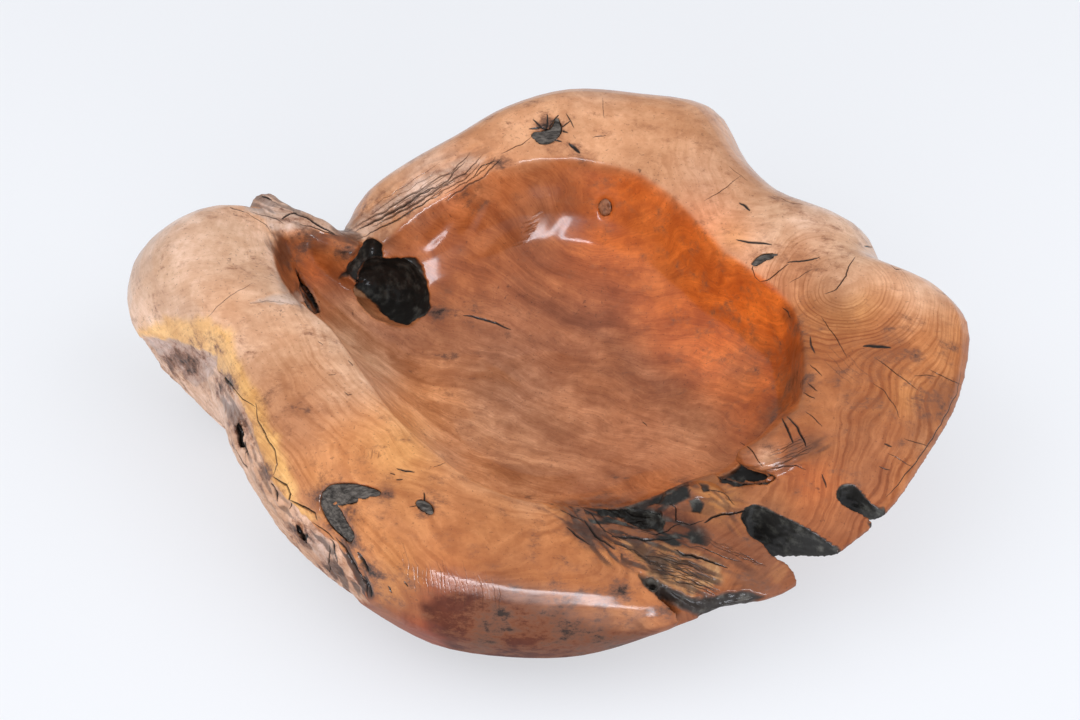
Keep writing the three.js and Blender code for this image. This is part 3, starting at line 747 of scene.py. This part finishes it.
def patch_shares(at, visible):
    """How much of each patch lies at each point, with a ragged edge."""
    plain = in_photo(at)
    astray = 2.4 * np.stack([field(at, 11, 61), field(at, 11, 71)], 1)
    astray += 1.0 * np.stack([field(at, 3.5, 62), field(at, 3.5, 72)], 1)
    may = can_be_black(at)
    shares = []
    for outline, softness, colour, *_ in PATCHES:
        pixels = plain + astray * (0.7 + 0.2 * softness)
        depth_in = np.full(len(at), -1e3)
        low, high = np.min(outline, 0) - softness, np.max(outline, 0) + softness
        near = ((pixels > low) & (pixels < high)).all(1) & (visible > 0)
        depth_in[near] = within(outline, pixels[near])
        share = smooth(depth_in / (2 * softness) + 0.5) * visible
        shares.append(share * may if colour == CHAR else share)
    return shares


def charred(at, facing, visible):
    """How far the wood is burnt black in the openings, and in the pockets out of the camera's sight."""
    black = np.zeros(len(at))
    ragged = 2.5 * field(at, 12, 81)
    for x, y, z, r in CHARRED_BALLS:
        away = np.linalg.norm(at / MM - (x, y, z), axis=1) + ragged
        black = np.maximum(black, smooth((r - away) / 4 + 0.5) * (1 - visible))
    wall = smooth((0.75 - facing[:, 2]) / 0.2)
    for edge in (NOTCH_EDGE, NOTCH_NEAR_EDGE, SLOT_EDGE, SLOT_NEAR_EDGE):
        away = off_line(at[:, :2] / MM, edge)
        black = np.maximum(black, wall * smooth((BURNT_RIM + 0.7 * ragged - away) / 2))
    return black


def gnarl(at, visible):
    """How gnarled the wood is, how black its furrows are, and the strands: 1 on one, -1 in a furrow."""
    pixels = in_photo(at)
    visible = visible * can_be_black(at)
    share = np.zeros(len(at))
    black = np.zeros(len(at))
    strands = np.zeros(len(at))
    for k, (half_width, amount, darkness, path) in enumerate(GNARLED):
        low, high = np.min(path, 0) - 1.5 * half_width, np.max(path, 0) + 1.5 * half_width
        near = np.nonzero(((pixels > low) & (pixels < high)).all(1) & (visible > 0))[0]
        best = np.full(len(near), FAR)
        along_path = np.zeros(len(near))
        across = np.zeros(len(near))
        run = 0
        for a, b in zip(np.array(path, float), np.array(path[1:], float)):
            length = np.linalg.norm(b - a)
            off, t = off_segment(pixels[near], a, b)
            closer = off < best
            best[closer] = off[closer]
            along_path[closer] = run + t[closer] * length
            across[closer] = ((pixels[near] - a) @ (a[1] - b[1], b[0] - a[0]) / length)[closer]
            run += length
        here = amount * visible[near] * smooth(1.5 - best / half_width)
        for i, x, y, how in zip(near, along_path, across, here):
            if how > share[i]:
                share[i] = how
                black[i] = darkness
                strands[i] = noise.noise(Vector((x / 30, y / 6, k)))
                strands[i] += 0.5 * noise.noise(Vector((x / 15, y / 3.2, k + 40)))
    return share, black, strands


# The bowl's mesh is made finer where something small is cut into it.
points = vertices_of(bowl.data)
normals = normals_of(bowl.data)
visible = seen(points, normals, skin)
rough_places = charred(points, normals, visible) > 0.02
rough_places |= gnarl(points, visible)[0] > 0.2
for (*_, depth, rough), share in zip(PATCHES, patch_shares(points, visible)):
    if depth or rough:
        rough_places |= share > 0.02
line_places = [p for line in lines for p in line[0]]
refine(bowl.data, line_places + [Vector(p) for p in points[rough_places]], 3 * MM)
refine(bowl.data, line_places, 2 * MM)
refine(bowl.data, [p for line in lines if line[1] < 0.75 * MM for p in line[0]], 1.2 * MM)

points = vertices_of(bowl.data)
normals = normals_of(bowl.data)
radius, azimuth = polar(points)

tree = kdtree.KDTree(len(points))
for i, p in enumerate(points):
    tree.insert(p, i)
tree.balance()


def along(line, reach):
    """The points within reach of a line, how far off it each lies and how far along it, 0 to 1."""
    near = sorted({i for place in line for _, i, _ in tree.find_range(place, reach)})
    best = np.full(len(near), FAR)
    share = np.zeros(len(near))
    for j, (a, b) in enumerate(zip(line, line[1:])):
        if not 0 < (b - a).length <= LONGEST_STEP:
            continue
        off, t = off_segment(points[near], np.array(a), np.array(b))
        closer = off < best
        best[closer] = off[closer]
        share[closer] = (j + t[closer]) / (len(line) - 1)
    return near, best, share


depth_cut = np.zeros(len(points))
crack = np.zeros(len(points))
for line, half_width, depth, dark in lines:
    near, off, share = along(line, 2 * half_width)
    taper = (4 * share * (1 - share)) ** 0.6
    width = half_width * (0.15 + 0.85 * taper)
    depth_cut[near] = np.maximum(depth_cut[near], depth * taper * np.clip(1.2 - off / width, 0, 1))
    crack[near] = np.maximum(crack[near], dark * smooth(1.5 - off / width))
furrow = np.zeros(len(points))
for line, half_width, depth in furrows:
    near, off, share = along(line, half_width)
    furrow[near] += depth * smooth(1 - off / half_width) * 4 * share * (1 - share)

# Where each place lies: in the hollow, down the outside, or on the rim between.
lip = round_table(LIP, azimuth)
in_hollow = smooth((lip - radius) / 4.5 + 0.3)
outside = smooth((0.35 - normals[:, 2]) / 0.5) * smooth((radius - lip - 30) / 20)

reach = np.stack([off_line(points / MM, pith) for pith in PITHS])
nearest = reach.min(0)
rings = nearest - PITH_BLEND * np.log(np.exp(-(reach - nearest) / PITH_BLEND).sum(0))
rings += 7 * field(points, 110, 3) + 4.2 * field(points, 38, 11) + 0.8 * field(points, 14, 13)
rings /= RING_WIDTH
figure = round_table(RING_STRENGTHS, azimuth)
pixels = in_photo(points)
for u, v, size in PLAIN:
    figure *= 1 - 0.85 * bell(pixels, (u, v), size)

# The grain in the hollow flows from the far left to the near right and parts round the knot.
flow = points @ np.array(ACROSS_GRAIN) / MM
flow += 26 * field(points, 150, 91) + 9 * field(points, 60, 93) + 2.5 * field(points, 22, 95)
flow += 30 * bell(points / MM, KNOT_AT, 40)
flow /= 10

rim_tone, wall_tone, outside_tone = (
    round_table({at: linear(colour) for at, colour in table.items()}, azimuth)
    for table in (RIM_TONES, WALL_TONES, OUTSIDE_TONES)
)
hollow_tone = blend(linear(FLOOR_BROWN), wall_tone, smooth((radius / lip - 0.5) / 0.35))
tone = blend(blend(rim_tone, outside_tone, outside), hollow_tone, in_hollow)

visible = seen(points, normals, skin)
for u, v, size, colour, amount in BLOOMS:
    tone = blend(tone, linear(colour), amount * visible * bell(pixels, (u, v), size))

stained = np.zeros(len(points))
for u, v, size, amount in STAINED:
    stained = np.maximum(stained, amount * visible * bell(pixels, (u, v), size))
hidden = outside * (1 - visible)
stained = np.maximum(stained, hidden * smooth(0.5 + field(points, 90, 101)))

gnarled, blackness, strands = gnarl(points, visible)
furrowed = gnarled * smooth((0.12 - strands) / 0.3)
tone = blend(tone, linear(UMBER), 0.6 * furrowed)
tone = blend(tone, linear(GOLD), 0.25 * gnarled * smooth((strands - 0.15) / 0.3))

openings = charred(points, normals, visible)
char = np.maximum(openings, gnarled * blackness * smooth((0.1 - strands) / 0.25))
dull = 0.6 * char
sunk = np.zeros(len(points))
relief = 0.6 * openings
for (_, _, colour, amount, depth, rough), share in zip(PATCHES, patch_shares(points, visible)):
    if colour == CHAR:
        char = np.maximum(char, share * amount)
    else:
        tone = blend(tone, linear(colour), share * amount)
    sunk = np.maximum(sunk, share * depth)
    relief = np.maximum(relief, share * rough)
    if colour in (WEATHERED, FLANK_GREY, FIBRE, LILAC_AND_PAINTED_LIGHT):
        dull = np.maximum(dull, share * 0.7)
    if colour == ROLL_BROWN_AND_SHADE:
        dull = np.maximum(dull, share)

# Gouge ripples high in the hollow, slow swellings elsewhere, then the patches, furrows and cuts.
ripple = in_hollow * smooth((points[:, 2] / MM - 66) / 36) * smooth((points[:, 1] / MM - 20) / 60)
swell = 1.7 * ripple * field(points, 30, 21) + 0.35 * (1 - in_hollow) * field(points, 40, 31)
swell += relief * (field(points, 9, 41) + 0.6 * field(points, 4.5, 51)) - sunk
swell += gnarled * (1.6 * np.clip(strands, -0.7, 0.5) - 0.5)
moved = points + normals * ((swell * MM) - furrow - depth_cut)[:, None]
low, high = np.array(cad_box[0]), np.array(cad_box[1])
moved = np.clip(moved, low, high)
moved[points[:, 2] < 0.4 * MM, 2] = 0
set_vertices(bowl.data, moved)


def store(mesh, name, values):
    kind = "FLOAT_COLOR" if values.ndim == 2 else "FLOAT"
    layer = mesh.attributes.new(name, kind, "POINT")
    if values.ndim == 2:
        values = np.hstack([values, np.ones((len(values), 1))])
        layer.data.foreach_set("color", values.astype(np.float32).ravel())
    else:
        layer.data.foreach_set("value", values.astype(np.float32))


for name, values in {
    "tone": tone, "rings": rings, "figure": figure, "flow": flow, "stained": stained, "crack": crack,
    "in_hollow": in_hollow, "outside": outside, "char": char, "dull": np.maximum(dull, 0.7 * char),
}.items():
    store(bowl.data, name, values)


# Materials


class Shader:
    """A material's node tree with short ways to add what the woods need."""

    def __init__(self, name):
        self.material = bpy.data.materials.new(name)
        self.material.use_nodes = True
        self.nodes = self.material.node_tree.nodes
        self.links = self.material.node_tree.links
        self.surface = self.nodes["Principled BSDF"]
        self.place = self.nodes.new("ShaderNodeTexCoord").outputs["Object"]

    def put(self, socket, value):
        """Links a socket to another, or sets it to a colour out of 255 or to a plain value."""
        if isinstance(value, bpy.types.NodeSocket):
            self.links.new(value, socket)
        elif isinstance(value, tuple):
            socket.default_value = (*linear(value), 1)
        else:
            socket.default_value = value

    def add(self, kind, inputs, **settings):
        """A new node with these settings, and with its inputs set by name or number."""
        node = self.nodes.new("ShaderNode" + kind)
        for name, value in settings.items():
            setattr(node, name, value)
        for key, value in inputs.items():
            self.put(node.inputs[key], value)
        return node

    def attribute(self, name, output="Fac"):
        return self.add("Attribute", {}, attribute_name=name).outputs[output]

    def noise(self, vector, scale, detail=3, roughness=0.55):
        inputs = {"Vector": vector, "Scale": scale, "Detail": detail, "Roughness": roughness}
        return self.add("TexNoise", inputs).outputs["Fac"]

    def math(self, operation, *values):
        return self.add("Math", dict(enumerate(values)), operation=operation).outputs[0]

    def times(self, a, b):
        return self.math("MULTIPLY", a, b)

    def plus(self, a, b):
        return self.math("ADD", a, b)

    def spread(self, value, low, high, to_low=0.0, to_high=1.0):
        """Turns low to high into to_low to to_high, with soft ends."""
        inputs = {"Value": value, "From Min": low, "From Max": high, "To Min": to_low, "To Max": to_high}
        return self.add("MapRange", inputs, interpolation_type="SMOOTHSTEP").outputs["Result"]

    def mix(self, share, a, b, blend="MIX"):
        inputs = {0: share, 6: a, 7: b}
        return self.add("Mix", inputs, data_type="RGBA", blend_type=blend).outputs[2]

    def tinted(self, colour, share, least, most):
        """The colour times a tint that goes from least to most with the share."""
        tint = self.add("Mix", {0: share}, data_type="RGBA")
        tint.inputs[6].default_value = (*least, 1)
        tint.inputs[7].default_value = (*most, 1)
        return self.mix(1.0, colour, tint.outputs[2], "MULTIPLY")

    def join(self, x, y, z):
        return self.add("CombineXYZ", {0: x, 1: y, 2: z}).outputs[0]

    def parts(self, vector):
        return self.add("SeparateXYZ", {0: vector}).outputs

    def bump(self, height, strength, distance):
        inputs = {"Strength": strength, "Distance": distance, "Height": height}
        self.put(self.surface.inputs["Normal"], self.add("Bump", inputs).outputs["Normal"])

    def finish(self, colour, roughness):
        self.put(self.surface.inputs["Base Color"], colour)
        self.put(self.surface.inputs["Roughness"], roughness)
        return self.material


def polished_wood():
    s = Shader("polished_root_wood")
    x, y, z = s.parts(s.place)
    hollow = s.attribute("in_hollow")
    char = s.attribute("char")
    dull = s.attribute("dull")
    figure = s.attribute("figure")

    def grain(along, fine, coarse, detail, roughness):
        """Noise drawn out along the lines on which the coordinate is even."""
        drawn_out = s.join(s.times(along, fine), s.times(x, coarse), s.times(y, coarse))
        return s.noise(drawn_out, 1.0, detail, roughness)

    # On the rim: growth rings, darker bands of them, fine fibres.
    ring = s.plus(s.attribute("rings"), s.times(s.noise(s.place, 50, 4, 0.6), 0.8))
    wave = s.spread(s.math("SINE", s.times(ring, 2 * math.pi)), -0.2, 1.0)
    lines = s.times(wave, s.spread(grain(ring, 0.35, 7, 3, 0.55), 0.35, 0.6))
    lines = s.times(lines, figure)
    bands = s.spread(grain(ring, 0.22, 8, 5, 0.62), 0.42, 0.66)
    fibre = grain(ring, 2.6, 26, 4, 0.7)
    # In the hollow: flowing streaks.
    flow = s.plus(s.attribute("flow"), s.times(s.noise(s.place, 24, 4, 0.55), 1.8))
    streaks = s.spread(grain(flow, 0.8, 7, 5, 0.6), 0.42, 0.68)
    threads = grain(flow, 8, 14, 4, 0.65)

    colour = s.attribute("tone", "Color")
    cloud = s.noise(s.place, 11, 5, 0.62)
    colour = s.tinted(colour, s.spread(cloud, 0.36, 0.64), (0.84, 0.78, 0.7), (1.08, 1.08, 1.07))
    mottle = s.noise(s.place, 52, 6, 0.7)
    colour = s.tinted(colour, s.spread(mottle, 0.36, 0.62), (1.06, 1.06, 1.05), (0.88, 0.8, 0.72))
    rim = s.tinted(colour, s.times(bands, figure), (1.0, 1.0, 1.0), (0.8, 0.68, 0.54))
    strength = s.math("MULTIPLY_ADD", figure, 0.7, 0.3)
    dark_fibre = s.times(s.spread(fibre, 0.3, 0.7), strength)
    rim = s.tinted(rim, dark_fibre, (1.07, 1.06, 1.05), (0.8, 0.72, 0.63))
    rim = s.tinted(rim, lines, (1.0, 1.0, 1.0), (0.68, 0.54, 0.4))
    veil = grain(flow, 0.3, 16, 6, 0.68)
    inner = s.tinted(colour, s.spread(veil, 0.36, 0.62), (1.12, 1.12, 1.1), (0.76, 0.67, 0.6))
    inner = s.tinted(inner, streaks, (1.06, 1.05, 1.04), (0.8, 0.7, 0.62))
    inner = s.tinted(inner, s.spread(threads, 0.3, 0.7), (1.09, 1.09, 1.08), (0.88, 0.84, 0.8))
    colour = s.mix(hollow, rim, inner)
    # Freckles in clusters, and pores.
    freckle = s.spread(s.noise(s.place, 190, 3, 0.6), 0.62, 0.68)
    clusters = s.spread(s.noise(s.place, 16, 3, 0.6), 0.56, 0.68)
    colour = s.mix(s.times(s.times(freckle, clusters), 0.6), colour, STAIN)
    fleck = s.noise(s.place, 460, 2, 0.5)
    colour = s.mix(s.spread(fleck, 0.64, 0.72, 0.0, 0.4), colour, STAIN)
    # Stains: reddish brown, darker inside, with black hearts.
    coarse = s.noise(s.join(s.times(x, 46), s.times(y, 70), s.times(z, 70)), 1.0, 10, 0.74)
    blot = s.plus(coarse, s.times(s.attribute("stained"), 0.2))
    for low, high, most, stain in (
        (0.52, 0.7, 0.6, BROWN), (0.62, 0.74, 0.8, UMBER), (0.72, 0.82, 0.85, CRACK_BLACK),
    ):
        colour = s.mix(s.spread(blot, low, high, 0.0, most), colour, stain)
    burnt = s.noise(s.place, 90, 5, 0.6)
    colour = s.mix(s.spread(char, 0.05, 0.4, 0.0, 0.4), colour, STAIN)
    colour = s.mix(char, colour, s.mix(s.spread(burnt, 0.46, 0.74), CHAR, CHAR_GREY))
    colour = s.mix(s.attribute("crack"), colour, CRACK_BLACK)
    height = s.plus(s.times(fibre, 0.4), s.times(lines, -0.3))
    height = s.plus(height, s.times(burnt, s.times(char, 1.5)))
    height = s.plus(height, s.times(s.noise(s.place, 85, 3, 0.5), 2.2))
    s.bump(height, 0.15, 0.4 * MM)
    matt = s.math("MAXIMUM", dull, s.attribute("outside"))
    gloss = s.math("SUBTRACT", 1.0, s.times(matt, 0.8))
    s.surface.inputs["Coat Roughness"].default_value = 0.15
    s.put(s.surface.inputs["Coat Weight"], s.times(gloss, 0.75))
    s.surface.inputs["Specular IOR Level"].default_value = 0.25
    roughness = s.plus(s.spread(fibre, 0.3, 0.7, 0.4, 0.5), s.times(dull, 0.2))
    return s.finish(colour, roughness)


def bark():
    s = Shader("trapped_bark")
    x, y, z = s.parts(s.place)
    grain = s.noise(s.join(s.times(x, 90), s.times(y, 330), s.times(z, 330)), 1.0, 6, 0.7)
    colour = s.mix(s.spread(grain, 0.36, 0.68), BARK_DARK, BARK_PALE)
    s.bump(grain, 0.6, 1.0 * MM)
    s.surface.inputs["Specular IOR Level"].default_value = 0.25
    return s.finish(colour, s.spread(grain, 0.3, 0.7, 0.5, 0.8))


def knot():
    s = Shader("knot_wood")
    grain = s.noise(s.place, 300, 4, 0.6)
    colour = s.mix(s.spread(grain, 0.3, 0.7), KNOT_DARK, KNOT_PALE)
    s.bump(grain, 0.3, 0.5 * MM)
    return s.finish(colour, s.spread(grain, 0.3, 0.7, 0.35, 0.55))


bowl.data.materials.append(polished_wood())
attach(bowl, "root")
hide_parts("bowl_body")
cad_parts["bowl_body"].hide_render = True

bark_look, knot_look = bark(), knot()
for node in sorted(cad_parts):
    if node == "bowl_body":
        continue
    plug = fine_copy(node, node.replace("_pocket", "_piece") + "_detail", PLUG_VOXEL, SMOOTHING_STEPS)
    at = vertices_of(plug.data)
    out = normals_of(plug.data)
    rough = np.array([noise.fractal(Vector(p / (3.5 * MM)), 1.0, 2.0, 3) for p in at])
    set_vertices(plug.data, np.clip(at + out * (rough * 0.35 * MM - 0.1 * MM)[:, None], low, high))
    is_knot = node == "encased_knot"
    plug.data.materials.append(knot_look if is_knot else bark_look)
    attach(plug, "root")
    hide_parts(node)
    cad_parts[node].hide_render = True


# Stage, light and camera

LIT_PLACE = Vector((0, 0, 0.1))
LAMP_COLOUR = (0.97, 1.01, 1.1)
SKY_COLOUR = (0.95, 0.97, 1.0, 1)
SKY_STRENGTH = 0.38


def backdrop():
    """A pale floor that runs on behind the bowl without a corner."""
    mesh = bpy.data.meshes.new("floor")
    half, near, far = 6.0, -4.0, 8.0
    corners = [(-half, near, 0), (half, near, 0), (half, far, 0), (-half, far, 0)]
    mesh.from_pydata(corners, [], [(0, 1, 2, 3)])
    floor = bpy.data.objects.new("floor", mesh)
    bpy.context.scene.collection.objects.link(floor)
    s = Shader("pale_floor")
    s.put(s.surface.inputs["Base Color"], FLOOR_PAINT)
    s.put(s.surface.inputs["Emission Color"], FLOOR_GLOW)
    to_camera = s.nodes.new("ShaderNodeLightPath").outputs["Is Camera Ray"]
    s.put(s.surface.inputs["Emission Strength"], s.math("MULTIPLY_ADD", to_camera, 0.17, 0.4))
    s.surface.inputs["Roughness"].default_value = 0.9
    s.surface.inputs["Specular IOR Level"].default_value = 0.1
    mesh.materials.append(s.material)


def lamp(name, place, width, depth, watts, mirrored=False):
    """A soft lamp aimed at the bowl, which the wood mirrors only where asked."""
    data = bpy.data.lights.new(name, "AREA")
    data.shape = "RECTANGLE"
    data.size = width
    data.size_y = depth
    data.energy = watts
    data.color = LAMP_COLOUR
    made = bpy.data.objects.new(name, data)
    made.visible_glossy = mirrored
    made.location = place
    made.rotation_euler = (LIT_PLACE - Vector(place)).to_track_quat("-Z", "Y").to_euler()
    bpy.context.scene.collection.objects.link(made)


backdrop()
lamp("front_strip", (-0.1, -2.7, 0.78), 2.4, 0.36, 44, mirrored=True)
lamp("left_softbox", (-2.0, -0.6, 2.3), 3.2, 2.4, 33)
lamp("right_softbox", (2.1, -0.6, 2.3), 3.2, 2.4, 43)
lamp("top_softbox", (0.0, 0.2, 2.8), 4.8, 3.2, 40)

world = bpy.data.worlds.new("studio")
bpy.context.scene.world = world
world.use_nodes = True
sky = world.node_tree.nodes["Background"]
sky.inputs["Color"].default_value = SKY_COLOUR
sky.inputs["Strength"].default_value = SKY_STRENGTH

camera = bpy.data.objects.new("camera", bpy.data.cameras.new("camera"))
camera.data.lens = LENS
camera.data.sensor_width = SENSOR
camera.location = CAMERA_AT
camera.rotation_euler = look.to_track_quat("-Z", "Y").to_euler()
bpy.context.scene.collection.objects.link(camera)
bpy.context.scene.camera = camera
bpy.context.scene.view_settings.view_transform = "Standard"
